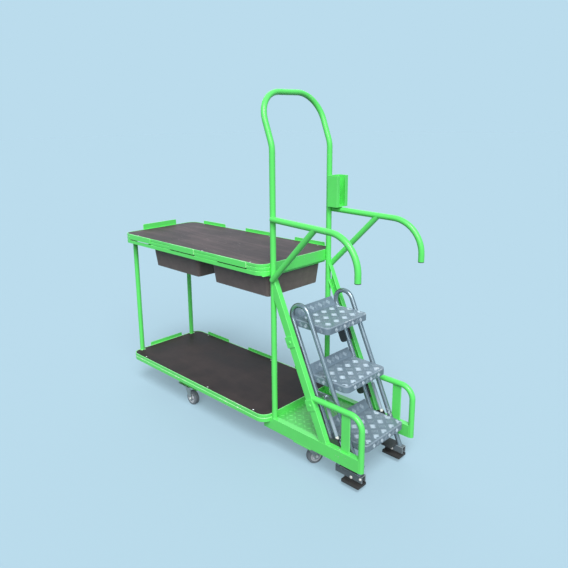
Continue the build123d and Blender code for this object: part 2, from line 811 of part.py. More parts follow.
wheel_planes = []
for side, side_name in sides:
    wheel_planes.append(
        (
            "rear",
            side_name,
            Plane((rear_castor_x, side * rear_castor_half, wheel_r), x_dir=(1, 0, 0), z_dir=(0, -1, 0)),
        )
    )
    turn_cos = cos(radians(castor_turn))
    turn_sin = sin(radians(castor_turn))
    fork_plane = Plane(
        (castor_x, side * castor_half, 0), x_dir=(turn_cos, -side * turn_sin, 0), z_dir=(-side * turn_sin, -turn_cos, 0)
    )
    wheel_planes.append(
        (
            "front",
            side_name,
            Plane(
                (castor_x + castor_trail * turn_cos, side * (castor_half - castor_trail * turn_sin), wheel_r),
                x_dir=fork_plane.x_dir,
                z_dir=fork_plane.z_dir,
            ),
        )
    )
    with BuildPart() as front_fork:
        with BuildSketch(Plane((castor_x, side * castor_half, crown_top_z))):
            Circle(crown_d / 2)
            Circle(king_d / 2 + axle_fit, mode=Mode.SUBTRACT)
        extrude(amount=-crown_t)
        for cheek in (-1, 1):
            with BuildSketch(fork_plane.offset(cheek * (fork_gap / 2 + fork_t / 2))):
                with BuildLine():
                    Polyline(
                        (-crown_d / 3, crown_top_z),
                        (crown_d / 3, crown_top_z),
                        (castor_trail + fork_eye_r, wheel_r),
                        (castor_trail - fork_eye_r, wheel_r),
                        close=True,
                    )
                make_face()
                with Locations((castor_trail, wheel_r)):
                    Circle(fork_eye_r)
                    Circle(axle_d / 2 + axle_fit, mode=Mode.SUBTRACT)
            extrude(amount=fork_t / 2, both=True)
    front_fork.part.label = "front_fork_" + side_name
    export_step(front_fork.part, "parts/" + front_fork.part.label + ".step")

    with BuildPart() as front_axle:
        with BuildSketch(fork_plane):
            with Locations((castor_trail, wheel_r)):
                Circle(axle_d / 2)
        extrude(amount=fork_gap / 2 + fork_t, both=True)
        for cheek in (-1, 1):
            with BuildSketch(fork_plane.offset(cheek * (fork_gap / 2 + fork_t))):
                with Locations((castor_trail, wheel_r)):
                    RegularPolygon(axle_head_d / 2, 6)
            extrude(amount=cheek * axle_head_h)
    front_axle.part.label = "front_axle_" + side_name
    export_step(front_axle.part, "parts/" + front_axle.part.label + ".step")

# Wheels: a waisted hub and a rounded tyre, turned about the axle
for wheel_name, side_name, wheel_plane in wheel_planes:
    turn_plane = Plane(wheel_plane.origin, x_dir=wheel_plane.z_dir, z_dir=wheel_plane.y_dir)
    turn_axis = Axis(wheel_plane.origin, wheel_plane.z_dir)
    with BuildPart() as hub:
        with BuildSketch(turn_plane):
            with BuildLine():
                Polyline(
                    (-hub_w / 2, -axle_d / 2 - axle_fit),
                    (hub_w / 2, -axle_d / 2 - axle_fit),
                    (hub_w / 2, -hub_boss_d / 2),
                    (hub_web_t / 2, -hub_boss_d / 2),
                    (hub_web_t / 2, hub_rim_t - tyre_inner_d / 2),
                    (tyre_w / 2, hub_rim_t - tyre_inner_d / 2),
                    (tyre_w / 2, -tyre_inner_d / 2),
                    (-tyre_w / 2, -tyre_inner_d / 2),
                    (-tyre_w / 2, hub_rim_t - tyre_inner_d / 2),
                    (-hub_web_t / 2, hub_rim_t - tyre_inner_d / 2),
                    (-hub_web_t / 2, -hub_boss_d / 2),
                    (-hub_w / 2, -hub_boss_d / 2),
                    close=True,
                )
            make_face()
        revolve(axis=turn_axis)
    hub.part.label = wheel_name + "_hub_" + side_name
    export_step(hub.part, "parts/" + hub.part.label + ".step")

    with BuildPart() as tyre:
        with BuildSketch(turn_plane):
            with Locations((0, -(wheel_r + tyre_inner_d / 2) / 2)):
                Rectangle(tyre_w, wheel_r - tyre_inner_d / 2)
        revolve(axis=turn_axis)
        fillet(tyre.edges().filter_by(GeomType.CIRCLE).group_by(SortBy.RADIUS)[-1], tyre_round)
    tyre.part.label = wheel_name + "_tyre_" + side_name
    export_step(tyre.part, "parts/" + tyre.part.label + ".step")


# Ladder sides: one bent tube each, with the strut lug and the two guide pins welded on
bow_x = strut_x - lean * bow_z
bow_r = leg_pitch / 2
for side, side_name in sides:
    ladder_plane = Plane.XZ.offset(-side * ladder_half)
    with BuildPart() as ladder_side:
        with BuildLine(ladder_plane) as ladder_line:
            Line((rear_leg_x, 0), (bow_x - bow_r * lean_cos, bow_z - bow_r * lean_sin))
            ThreePointArc(
                (bow_x - bow_r * lean_cos, bow_z - bow_r * lean_sin),
                (bow_x - bow_r * lean_sin, bow_z + bow_r * lean_cos),
                (bow_x + bow_r * lean_cos, bow_z + bow_r * lean_sin),
            )
            Line((bow_x + bow_r * lean_cos, bow_z + bow_r * lean_sin), (rear_leg_x + leg_span, 0))
        with BuildSketch(Plane((rear_leg_x, side * ladder_half, 0), z_dir=(-lean_sin, 0, lean_cos))):
            Circle(leg_d / 2)
            Circle(leg_d / 2 - leg_wall, mode=Mode.SUBTRACT)
        sweep(path=ladder_line.wires()[0])
        split(bisect_by=Plane.XY.offset(foot_top_z), keep=Keep.TOP)
        with BuildSketch(ladder_plane):
            with Locations((strut_x - lean * lug_z, lug_z)):
                Rectangle(leg_span, lug_h)
        extrude(amount=lug_t / 2, both=True)
        with BuildSketch(ladder_plane):
            with Locations((strut_x - lean * lug_z, lug_z)):
                Circle(strut_pin_d / 2)
        extrude(amount=-side * (strut_half + strut_d / 2 - ladder_half))
        with BuildSketch(ladder_plane):
            for block_z in (block_upper_z, block_lower_z):
                with Locations((rear_leg_x - lean * block_z, block_z)):
                    Circle(pin_d / 2)
        extrude(amount=-side * (channel_outer - channel_wall - 2 * block_gap - ladder_half))
    ladder_side.part.label = "ladder_side_" + side_name
    export_step(ladder_side.part, "parts/" + ladder_side.part.label + ".step")


# Guide blocks: nylon sliders on the pins, in the channels and a little out of them towards the legs
with BuildPart() as guide_blocks:
    for side, side_name in sides:
        for block_z in (block_upper_z, block_lower_z):
            block_out = channel_outer - channel_wall - block_gap
            with BuildSketch(
                Plane(
                    (channel_x - lean * block_z, side * block_out, block_z),
                    x_dir=(lean_cos, 0, lean_sin),
                    z_dir=(0, -1, 0),
                )
            ):
                RectangleRounded(channel_w - 2 * channel_wall - 2 * block_gap, block_l, 4)
                with Locations(((rear_leg_x - channel_x) * lean_cos, (channel_x - rear_leg_x) * lean_sin)):
                    Circle(pin_d / 2 + pin_fit, mode=Mode.SUBTRACT)
            extrude(amount=side * block_w)
guide_blocks.part.label = "guide_blocks"
export_step(guide_blocks.part, "parts/guide_blocks.step")


# Treads: folded plates with skirts, a rounded nose and a rear upstand
treads = (
    ("tread_lower", tread_first_z),
    ("tread_middle", tread_first_z + tread_rise),
    ("tread_upper", tread_first_z + 2 * tread_rise),
)
for tread_name, tread_z in treads:
    tread_rear_x = rear_leg_x - lean * tread_z
    with BuildPart() as tread:
        with BuildSketch(Plane((tread_rear_x, 0, tread_z))) as tread_top:
            with Locations((tread_depth / 2, 0)):
                Rectangle(tread_depth, 2 * tread_half)
            fillet(tread_top.vertices().group_by(Axis.X)[-1], tread_corner_r)
        extrude(amount=-tread_skirt)
        fillet(tread.faces().sort_by(Axis.Z)[-1].edges().sort_by(Axis.X)[1:], tread_fold_r)
        with BuildSketch(Plane((tread_rear_x, 0, tread_z - tread_t))) as tread_hollow:
            with Locations(((tread_depth - tread_t) / 2, 0)):
                Rectangle(tread_depth - tread_t, 2 * (tread_half - tread_t))
            fillet(tread_hollow.vertices().group_by(Axis.X)[-1], tread_corner_r - tread_t)
        extrude(amount=-tread_skirt, mode=Mode.SUBTRACT)
        with BuildSketch(Plane.XZ.offset(-tread_half)):
            with BuildLine():
                Polyline(
                    (tread_rear_x, tread_z - tread_t),
                    (tread_rear_x, tread_z),
                    (tread_rear_x - upstand_lean, tread_z + upstand_h),
                    (tread_rear_x - upstand_lean + tread_t, tread_z + upstand_h),
                    (tread_rear_x + tread_t, tread_z),
                    (tread_rear_x + tread_t, tread_z - tread_t),
                    close=True,
                )
            make_face()
        extrude(amount=2 * tread_half)
    tread.part.label = tread_name
    export_step(tread.part, "parts/" + tread_name + ".step")


# Tread gussets: tapered plates under the rear corners of each tread
with BuildPart() as tread_gussets:
    for tread_name, tread_z in treads:
        gusset_z = tread_z - tread_t - gusset_t * lean_sin
        gusset_x = rear_leg_x - lean * gusset_z + gusset_t
        for side, side_name in sides:
            with BuildSketch(
                Plane(
                    (gusset_x, side * (tread_half - tread_t), gusset_z),
                    x_dir=(0, -side, 0),
                    z_dir=(side * lean_cos, 0, side * lean_sin),
                )
            ):
                with BuildLine():
                    Polyline((0, 0), (gusset_w, 0), (gusset_tip_w, gusset_h), (0, gusset_h), close=True)
                make_face()
            extrude(amount=gusset_t / 2, both=True)
tread_gussets.part.label = "tread_gussets"
export_step(tread_gussets.part, "parts/tread_gussets.step")


# Ladder feet: open channels under the legs, rubber pads with a core that stands in the channel, and bolts
with BuildPart() as foot_channels:
    for side, side_name in sides:
        with BuildSketch(Plane.YZ.offset(post_x + foot_start)):
            with Locations((side * ladder_half, (foot_top_z + foot_bottom_z) / 2)):
                Rectangle(foot_w, foot_top_z - foot_bottom_z)
            with Locations((side * ladder_half, (foot_top_z + foot_bottom_z) / 2 - foot_wall)):
                Rectangle(foot_w - 2 * foot_wall, foot_top_z - foot_bottom_z, mode=Mode.SUBTRACT)
        extrude(amount=foot_end - foot_start)
foot_channels.part.label = "foot_channels"
export_step(foot_channels.part, "parts/foot_channels.step")

pad_mid_x = post_x + (pad_start + pad_end) / 2
with BuildPart() as foot_pads:
    for side, side_name in sides:
        with BuildSketch(Plane((pad_mid_x, side * ladder_half, pad_lift))):
            RectangleRounded(pad_end - pad_start, pad_w, pad_round)
        extrude(amount=pad_t)
        with BuildSketch(Plane((pad_mid_x, side * ladder_half, pad_lift + pad_t))):
            Rectangle(pad_end - pad_start - 2 * pad_round, foot_w - 2 * foot_wall - 2 * pad_gap)
        extrude(amount=foot_top_z - foot_wall - pad_lift - pad_t)
foot_pads.part.label = "foot_pads"
export_step(foot_pads.part, "parts/foot_pads.step")

with BuildPart() as foot_bolts:
    for side, side_name in sides:
        for face in (-1, 1):
            with BuildSketch(Plane.XZ.offset(-side * ladder_half - face * foot_w / 2)):
                with Locations((post_x + bolt_along, bolt_z)):
                    Circle(bolt_d / 2)
            extrude(amount=-face * bolt_h)
foot_bolts.part.label = "foot_bolts"
export_step(foot_bolts.part, "parts/foot_bolts.step")


# Lift struts: cylinder, end cap and anchor on the frame, rod on the ladder
strut_up = (-lean_sin, 0, lean_cos)
strut_length = (strut_high_z - strut_low_z) / lean_cos
with BuildPart() as strut_cylinders:
    for side, side_name in sides:
        with BuildSketch(Plane((strut_x - lean * strut_low_z, side * strut_half, strut_low_z), z_dir=strut_up)):
            Circle(strut_d / 2)
        extrude(amount=strut_length)
        with BuildSketch(Plane((strut_x - lean * strut_high_z, side * strut_half, strut_high_z), z_dir=strut_up)):
            Circle(rod_d / 2 + rod_gap)
        extrude(amount=-rod_depth - pad_lift / lean_cos - rod_gap, mode=Mode.SUBTRACT)
strut_cylinders.part.label = "strut_cylinders"
export_step(strut_cylinders.part, "parts/strut_cylinders.step")

with BuildPart() as strut_caps:
    for side, side_name in sides:
        with BuildSketch(Plane((strut_x - lean * strut_low_z, side * strut_half, strut_low_z), z_dir=strut_up)):
            Circle(strut_d / 2)
        extrude(amount=-strut_cap)
strut_caps.part.label = "strut_caps"
export_step(strut_caps.part, "parts/strut_caps.step")

with BuildPart() as strut_anchors:
    for side, side_name in sides:
        with BuildSketch(Plane.XZ.offset(-side * rail_inner)):
            with Locations((strut_x - lean * strut_eye_z, strut_eye_z)):
                Circle(strut_eye_d / 2)
        extrude(amount=side * (rail_inner - strut_half + strut_eye_d / 2))
        with BuildSketch(Plane((strut_x - lean * strut_eye_z, side * strut_half, strut_eye_z), z_dir=strut_up)):
            Circle(rod_d / 2)
        extrude(amount=(strut_low_z - strut_eye_z) / lean_cos - strut_cap)
strut_anchors.part.label = "strut_anchors"
export_step(strut_anchors.part, "parts/strut_anchors.step")

rod_length = (lug_z - strut_high_z) / lean_cos + rod_depth
with BuildPart() as strut_rods:
    for side, side_name in sides:
        with BuildSketch(Plane((strut_x - lean * lug_z, side * strut_half, lug_z), z_dir=strut_up)):
            Circle(rod_d / 2)
        extrude(amount=-rod_length)
        with BuildSketch(Plane.XZ.offset(-side * strut_half)):
            with Locations((strut_x - lean * lug_z, lug_z)):
                Circle(strut_eye_d / 2)
        extrude(amount=strut_d / 2, both=True)
        with BuildSketch(Plane.XZ.offset(-side * strut_half)):
            with Locations((strut_x - lean * lug_z, lug_z)):
                Circle(strut_pin_d / 2 + pin_fit)
        extrude(amount=strut_d / 2, both=True, mode=Mode.SUBTRACT)
strut_rods.part.label = "strut_rods"
export_step(strut_rods.part, "parts/strut_rods.step")
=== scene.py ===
from math import atan2, cos, pi, radians, sin, tan

import bpy
from mathutils import Matrix, Vector


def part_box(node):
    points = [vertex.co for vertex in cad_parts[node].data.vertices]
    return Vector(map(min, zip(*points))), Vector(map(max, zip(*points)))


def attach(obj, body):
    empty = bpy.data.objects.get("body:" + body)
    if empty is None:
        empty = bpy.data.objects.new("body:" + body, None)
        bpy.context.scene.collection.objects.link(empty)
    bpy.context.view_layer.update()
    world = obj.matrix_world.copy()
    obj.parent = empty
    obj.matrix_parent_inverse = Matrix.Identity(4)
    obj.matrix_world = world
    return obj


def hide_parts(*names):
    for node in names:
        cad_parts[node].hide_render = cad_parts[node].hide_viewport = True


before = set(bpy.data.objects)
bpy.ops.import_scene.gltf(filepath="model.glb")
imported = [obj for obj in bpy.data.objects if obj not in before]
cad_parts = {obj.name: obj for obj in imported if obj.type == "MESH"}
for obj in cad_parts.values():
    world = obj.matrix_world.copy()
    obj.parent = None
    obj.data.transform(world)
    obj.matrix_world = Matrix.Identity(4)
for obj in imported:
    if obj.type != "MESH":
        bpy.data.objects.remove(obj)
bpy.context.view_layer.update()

scene = bpy.context.scene
scene.view_settings.view_transform = "Standard"


# Camera: at eye height in front of the right front corner of the trolley, held level to within a degree.
# The lens axis meets the picture a little above and to the left of its middle.
eye = (2.0667, -1.9578, 1.5696)
turned_left, tipped_down, rolled = 45.48, 13.62, -0.81
bpy.ops.object.select_all(action="DESELECT")
bpy.ops.object.camera_add()
camera = bpy.context.object
camera.matrix_world = (
    Matrix.Translation(eye)
    @ Matrix.Rotation(radians(turned_left), 4, "Z")
    @ Matrix.Rotation(radians(90 - tipped_down), 4, "X")
    @ Matrix.Rotation(radians(rolled), 4, "Z")
)
camera.data.sensor_width = 36
camera.data.lens = 36.108
camera.data.shift_x = 0.0328
camera.data.shift_y = -0.0458
scene.camera = camera


# Studio: a pale blue floor that runs out to a backdrop of the same blue, under a weak sky. One lamp is high
# at the right front, a wider one lower on the same side, and a weak one at the left rear. What bounces back
# up from the floor is dimmer than what is seen of it, so that undersides stay dark.
def rgb(red, green, blue):
    """A colour as it looks on a screen, 0 to 255, in the renderer's linear units."""
    parts = [value / 255 for value in (red, green, blue)]
    return tuple(v / 12.92 if v <= 0.04045 else ((v + 0.055) / 1.055) ** 2.4 for v in parts) + (1,)


def toned(colour, share, lift=0):
    """A colour taken up or down by a share of itself, and then lifted evenly."""
    return tuple(min(1, value * share + lift) for value in colour[:3]) + (1,)


def add(tree, kind, settings=None, **inputs):
    """Adds a shader node, sets its choices, and sets its inputs or links them."""
    made = tree.nodes.new("ShaderNode" + kind)
    for name, value in (settings or {}).items():
        setattr(made, name, value)
    for name, value in inputs.items():
        socket = made.inputs[name.replace("_", " ")]
        if isinstance(value, bpy.types.NodeSocket):
            tree.links.new(value, socket)
        else:
            socket.default_value = value
    return made


def maths(tree, operation, *values):
    """Adds a Math node on numbers or sockets, and returns its output."""
    made = tree.nodes.new("ShaderNodeMath")
    made.operation = operation
    for socket, value in zip(made.inputs, values):
        if isinstance(value, bpy.types.NodeSocket):
            tree.links.new(value, socket)
        else:
            socket.default_value = value
    return made.outputs[0]


def mixed_shaders(tree, share, first, second):
    """Mixes two shaders by a share, and returns the mix."""
    made = add(tree, "MixShader", Fac=share)
    tree.links.new(first.outputs[0], made.inputs[1])
    tree.links.new(second.outputs[0], made.inputs[2])
    return made


def looked_at(tree):
    """1 for what is seen, straight, in a shine or through something clear, and 0 for what gives light."""
    path = add(tree, "LightPath").outputs
    straight_or_shine = maths(tree, "MAXIMUM", path["Is Camera Ray"], path["Is Glossy Ray"])
    return maths(tree, "MAXIMUM", straight_or_shine, path["Is Transmission Ray"])


backdrop_blue = rgb(187, 220, 237)
bounce_grey = (0.06, 0.065, 0.07, 1)
floor_size = 120
floor_glow = 0.38
sky_light = 0.24
lamps = (
    (Vector((0.5, -0.5, 1)).normalized(), 1.45, 22),
    (Vector((0.55, -0.55, 0.63)).normalized(), 2.85, 50),
    (Vector((-0.6, 0.5, 0.5)).normalized(), 0.5, 60),
)
floor_light = sky_light + sum(to_lamp.z * light for to_lamp, light, spread in lamps) / pi

bpy.ops.mesh.primitive_plane_add(size=floor_size)
floor = bpy.context.object
floor.name = "studio_floor"
floor_finish = bpy.data.materials.new("studio_floor")
floor_finish.use_nodes = True
tree = floor_finish.node_tree
tree.nodes.clear()
lit = add(tree, "BsdfDiffuse", Color=toned(backdrop_blue, 1 / floor_light))
glow = add(tree, "Emission", Color=backdrop_blue)
pale_floor = mixed_shaders(tree, floor_glow, lit, glow)
bounce = add(tree, "BsdfDiffuse", Color=bounce_grey)
surface = mixed_shaders(tree, looked_at(tree), bounce, pale_floor)
add(tree, "OutputMaterial", Surface=surface.outputs[0])
floor.data.materials.append(floor_finish)

scene.world = bpy.data.worlds.new("studio")
scene.world.use_nodes = True
tree = scene.world.node_tree
tree.nodes.clear()
sky = add(tree, "Background", Color=(1, 1, 1, 1), Strength=sky_light)
backdrop = add(tree, "Background", Color=backdrop_blue, Strength=1)
surface = mixed_shaders(tree, looked_at(tree), sky, backdrop)
add(tree, "OutputWorld", Surface=surface.outputs[0])

for to_lamp, light, spread in lamps:
    bpy.ops.object.light_add(type="SUN")
    lamp = bpy.context.object
    lamp.data.energy = light
    lamp.data.angle = radians(spread)
    lamp.rotation_euler = to_lamp.to_track_quat("Z", "Y").to_euler()


# Chassis: two box-section rails under the front, two cross tubes, a bearer over the rear castors and the
# castor plates. Mild steel, welded, and powder coated bright green all over, with chips at the edges and
# dust near the floor. The rounded edges are a paler green, which is a painted highlight.
def group(name, inputs, outputs):
    """Starts a shader node group with float inputs and outputs, and returns its tree and both ends."""
    made = bpy.data.node_groups.new(name, "ShaderNodeTree")
    for label, value in inputs.items():
        made.interface.new_socket(label, in_out="INPUT", socket_type="NodeSocketFloat").default_value = value
    for label in outputs:
        made.interface.new_socket(label, in_out="OUTPUT", socket_type="NodeSocketFloat")
    return made, made.nodes.new("NodeGroupInput").outputs, made.nodes.new("NodeGroupOutput").inputs


def place(tree, name, **inputs):
    """Places a node group in a material with its own values, and returns its outputs."""
    made = tree.nodes.new("ShaderNodeGroup")
    made.node_tree = bpy.data.node_groups[name]
    for label, value in inputs.items():
        made.inputs[label.replace("_", " ")].default_value = value
    return made.outputs


soft_step = {"interpolation_type": "SMOOTHSTEP"}

tree, given, result = group("coat_grain", {"Scale": 600, "Patch Scale": 7}, ("Height", "Tone"))
spot = add(tree, "TexCoord").outputs["Object"]
peel = add(tree, "TexNoise", Vector=spot, Scale=given["Scale"], Detail=2)
patch = add(tree, "TexNoise", Vector=spot, Scale=given["Patch Scale"], Detail=4, Roughness=0.6)
tree.links.new(peel.outputs[0], result["Height"])
tree.links.new(patch.outputs[0], result["Tone"])

least_scuffed, scuff_range = 0.82, 0.4
tree, given, result = group(
    "scuffs", {"Along": 4, "Across": 90, "Down": 90, "Turn": 0.4, "Share": 0.3, "Soft": 0.1}, ("Mask",)
)
spot = add(tree, "TexCoord").outputs["Object"]
turned = add(tree, "VectorRotate", {"rotation_type": "Z_AXIS"}, Vector=spot, Angle=given["Turn"])
sizes = add(tree, "CombineXYZ", X=given["Along"], Y=given["Across"], Z=given["Down"])
drawn = add(tree, "VectorMath", {"operation": "MULTIPLY"})
tree.links.new(turned.outputs[0], drawn.inputs[0])
tree.links.new(sizes.outputs[0], drawn.inputs[1])
streak = add(tree, "TexNoise", Vector=drawn.outputs[0], Scale=1, Detail=3, Roughness=0.6, Distortion=0.4)
low = maths(tree, "SUBTRACT", least_scuffed, maths(tree, "MULTIPLY", given["Share"], scuff_range))
high = maths(tree, "ADD", low, given["Soft"])
mask = add(tree, "MapRange", soft_step, Value=streak.outputs[0], From_Min=low, From_Max=high)
tree.links.new(mask.outputs[0], result["Mask"])

tree, given, result = group("floor_dust", {"Reach": 0.3, "Amount": 0.5}, ("Mask",))
spot = add(tree, "TexCoord").outputs["Object"]
height = add(tree, "SeparateXYZ", Vector=spot).outputs["Z"]
fade = add(tree, "MapRange", soft_step, Value=height, From_Min=given["Reach"], From_Max=0)
cloud = add(tree, "TexNoise", Vector=spot, Scale=38, Detail=5, Roughness=0.65)
share = maths(tree, "MULTIPLY", maths(tree, "MULTIPLY", fade.outputs[0], cloud.outputs[0]), given["Amount"])
tree.links.new(share, result["Mask"])

least_chipped, chip_range, chip_edge = 0.66, 0.2, 0.02
tree, given, result = group("chips", {"Scale": 120, "Share": 0.3}, ("Mask",))
spot = add(tree, "TexCoord").outputs["Object"]
where = add(tree, "TexNoise", Vector=spot, Scale=9, Detail=2)
flake = add(tree, "TexNoise", Vector=spot, Scale=given["Scale"], Detail=3, Roughness=0.7)
halves = [maths(tree, "MULTIPLY", noise.outputs[0], 0.5) for noise in (where, flake)]
level = maths(tree, "ADD", *halves)
low = maths(tree, "SUBTRACT", least_chipped, maths(tree, "MULTIPLY", given["Share"], chip_range))
high = maths(tree, "ADD", low, chip_edge)
mask = add(tree, "MapRange", Value=level, From_Min=low, From_Max=high)
tree.links.new(mask.outputs[0], result["Mask"])


def mixed_colour(tree, share, first, second):
    """Mixes two colours by a mask, and returns the colour."""
    return add(tree, "MixRGB", Fac=share, Color1=first, Color2=second).outputs[0]


def new_finish(name):
    """A new material, with its node tree and the inputs of its shader."""
    finish = bpy.data.materials.new(name)
    finish.use_nodes = True
    tree = finish.node_tree
    return finish, tree, tree.nodes["Principled BSDF"].inputs


def painted(name, colour, under, roughness, chipped, coat=0.0, grain=600, patch=7, spread=0.12):
    """Paint: uneven tone, fine peel, scuffs, dust near the floor, and chips that bare what is under it."""
    scuff_strength, fade, fade_lift = 0.35, 0.75, 0.12
    worn_roughness, chip_depth = 0.2, 2.0
    finish, tree, shader = new_finish(name)
    relief = place(tree, "coat_grain", Scale=grain, Patch_Scale=patch)
    tone = mixed_colour(tree, relief["Tone"], toned(colour, 1 - spread), toned(colour, 1 + spread / 2))
    scuff = place(tree, "scuffs", Share=0.16)["Mask"]
    rub = maths(tree, "MULTIPLY", scuff, scuff_strength)
    rubbed = mixed_colour(tree, rub, tone, toned(colour, fade, fade_lift))
    dust = place(tree, "floor_dust", Reach=0.42, Amount=0.22)["Mask"]
    dusty = mixed_colour(tree, dust, rubbed, rgb(110, 108, 98))
    chip = place(tree, "chips", Share=chipped)["Mask"]
    tree.links.new(mixed_colour(tree, chip, dusty, under), shader["Base Color"])
    wear = maths(tree, "MULTIPLY", maths(tree, "ADD", scuff, chip), worn_roughness)
    tree.links.new(maths(tree, "ADD", roughness, wear), shader["Roughness"])
    shader["Coat Weight"].default_value = coat
    shader["Coat Roughness"].default_value = 0.15
    deep = maths(tree, "SUBTRACT", relief["Height"], maths(tree, "MULTIPLY", chip, chip_depth))
    bump = add(tree, "Bump", Strength=0.12, Distance=0.0006, Height=deep)
    tree.links.new(bump.outputs[0], shader["Normal"])
    return finish


frame_green = painted(
    "frame_green", rgb(96, 232, 106), rgb(190, 200, 190), roughness=0.36, chipped=0.0, coat=0.2
)
# The edge finish is a paler green, a painted highlight on rounded edges, with a few chips that are wear.
highlit_edge = painted(
    "frame_green_highlit_edge", rgb(128, 242, 136), rgb(214, 228, 214), roughness=0.36, chipped=0.12, coat=0.2
)


def dress(piece, finish, edge=None):
    """Gives a piece its finish, and the finish of its rounded edges."""
    piece.data.materials.clear()
    piece.data.materials.append(finish)
    if edge:
        piece.data.materials.append(edge)


def settle(piece, body, slot, *nodes):
    """Lets a finished piece ride on a body and stand for solids. The slot is not used."""
    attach(piece, body)
    if nodes:
        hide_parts(*nodes)
    return piece


def pick(piece):
    """Makes one piece the only selected and active one."""
    bpy.ops.object.select_all(action="DESELECT")
    piece.select_set(True)
    bpy.context.view_layer.objects.active = piece


def rounded(piece, radius, segments=2, edge=False):
    """Rounds the sharp edges of a piece and keeps its flat faces flat."""
    sharp_from, smooth_below = radians(32), radians(48)
    pick(piece)
    bevel = piece.modifiers.new("edges", "BEVEL")
    bevel.width = radius
    bevel.segments = segments
    bevel.limit_method = "ANGLE"
    bevel.angle_limit = sharp_from
    if edge:
        bevel.material = 1
    bpy.ops.object.modifier_apply(modifier=bevel.name)
    bpy.ops.object.shade_smooth_by_angle(angle=smooth_below)
    flats = piece.modifiers.new("flats", "WEIGHTED_NORMAL")
    flats.keep_sharp = True
    bpy.ops.object.modifier_apply(modifier=flats.name)
    return piece


def skinned(node, body, slot, finish, edge=None, radius=0.001, segments=2):
    """A copy of a solid's skin, with its triangles merged into faces and its edges rounded."""
    piece = bpy.data.objects.new(node + "_skin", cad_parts[node].data.copy())
    scene.collection.objects.link(piece)
    pick(piece)
    dress(piece, finish, edge)
    bpy.ops.mesh.customdata_custom_splitnormals_clear()
    bpy.ops.object.mode_set(mode="EDIT")
    bpy.ops.mesh.select_all(action="SELECT")
    bpy.ops.mesh.remove_doubles(threshold=0.00001)
    bpy.ops.mesh.dissolve_limited(angle_limit=radians(1))
    bpy.ops.object.mode_set(mode="OBJECT")
    rounded(piece, radius, segments, edge is not None)
    return settle(piece, body, slot, node)


for node, radius in (
    ("chassis_rail_right", 0.0012),
    ("chassis_rail_left", 0.0012),
    ("castor_plates", 0.0012),
    ("cross_members", 0.0009),
    ("deck_bearers", 0.0009),
):
    skinned(node, "frame", "frame_green", frame_green, highlit_edge, radius)


# Floor plate: chequered steel sheet between the rails, folded down along its front edge and welded to the
# cross tubes. Its raised marks stand at right angles to each other. Their green is paler than the sheet's as
# a painted highlight on the relief, and the sheet's darker mottled tone is painted shade of the relief.
def raised_mark(length, width, height, corners=12):
    """One raised mark of a chequer plate: a flat ellipse drawn up and in to a soft ridge."""
    sunk = 0.1
    ridge = ((0.5, (0.93, 0.84, 1)), (0.4, (0.82, 0.66, 1)), (0.2, (0.66, 0.42, 1)))
    bpy.ops.object.select_all(action="DESELECT")
    bpy.ops.mesh.primitive_circle_add(vertices=corners, radius=1, fill_type="NGON")
    bpy.ops.object.mode_set(mode="EDIT")
    bpy.ops.transform.resize(value=(length / 2, width / 2, 1))
    bpy.ops.transform.translate(value=(0, 0, -sunk * height))
    for rise, shrink in ridge:
        bpy.ops.mesh.extrude_region_move(TRANSFORM_OT_translate={"value": (0, 0, height * rise)})
        bpy.ops.transform.resize(value=shrink)
    bpy.ops.mesh.select_all(action="SELECT")
    bpy.ops.mesh.normals_make_consistent(inside=False)
    bpy.ops.object.mode_set(mode="OBJECT")
    bpy.ops.object.shade_smooth_by_angle(angle=radians(60))
    return bpy.context.object


def spread_out(model, name, places, finish):
    """Copies a small piece to each place, given as centre, run and outward way, and joins the copies."""
    copies = []
    for centre, run, outward in places:
        up = Vector(outward).normalized()
        along = (Vector(run) - up * up.dot(Vector(run))).normalized()
        turn = Matrix((along, up.cross(along), up)).transposed().to_4x4()
        copy = bpy.data.objects.new(name, model.data.copy())
        copy.data.transform(Matrix.Translation(centre) @ turn)
        scene.collection.objects.link(copy)
        copies.append(copy)
    bpy.data.objects.remove(model)
    bpy.ops.object.select_all(action="DESELECT")
    for copy in copies:
        copy.select_set(True)
    bpy.context.view_layer.objects.active = copies[0]
    bpy.ops.object.join()
    dress(copies[0], finish)
    return copies[0]


# The sheet's darker mottled green is painted shade of its relief, and the marks' paler green a painted
# highlight on it.
floor_green = painted(
    "floor_green", rgb(84, 214, 95), rgb(150, 190, 156), roughness=0.42, chipped=0.1, patch=22, spread=0.35
)
highlit_floor_marks = painted(
    "highlit_floor_marks", rgb(110, 232, 119), rgb(170, 205, 178), roughness=0.4, chipped=0.2, coat=0.15
)
skinned("floor_plate", "frame", "frame_green", floor_green, highlit_edge, radius=0.0009)
to_front, to_top = (1, 0, 0), (0, 0, 1)
mark_rows, mark_columns, mark_pitch = 10, 13, 0.0285
first_row_inset, first_column_y = 0.016, -0.171
low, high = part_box("floor_plate")
places = []
for row in range(mark_rows):
    for column in range(mark_columns):
        x = low.x + first_row_inset + mark_pitch * row
        y = first_column_y + mark_pitch * column
        run = (1, 1, 0) if (row + column) % 2 else (1, -1, 0)
        places.append((Vector((x, y, high.z)), run, to_top))
mark = raised_mark(length=0.021, width=0.0072, height=0.0012)
settle(spread_out(mark, "floor_plate_marks", places, highlit_floor_marks), "frame", "frame_green")


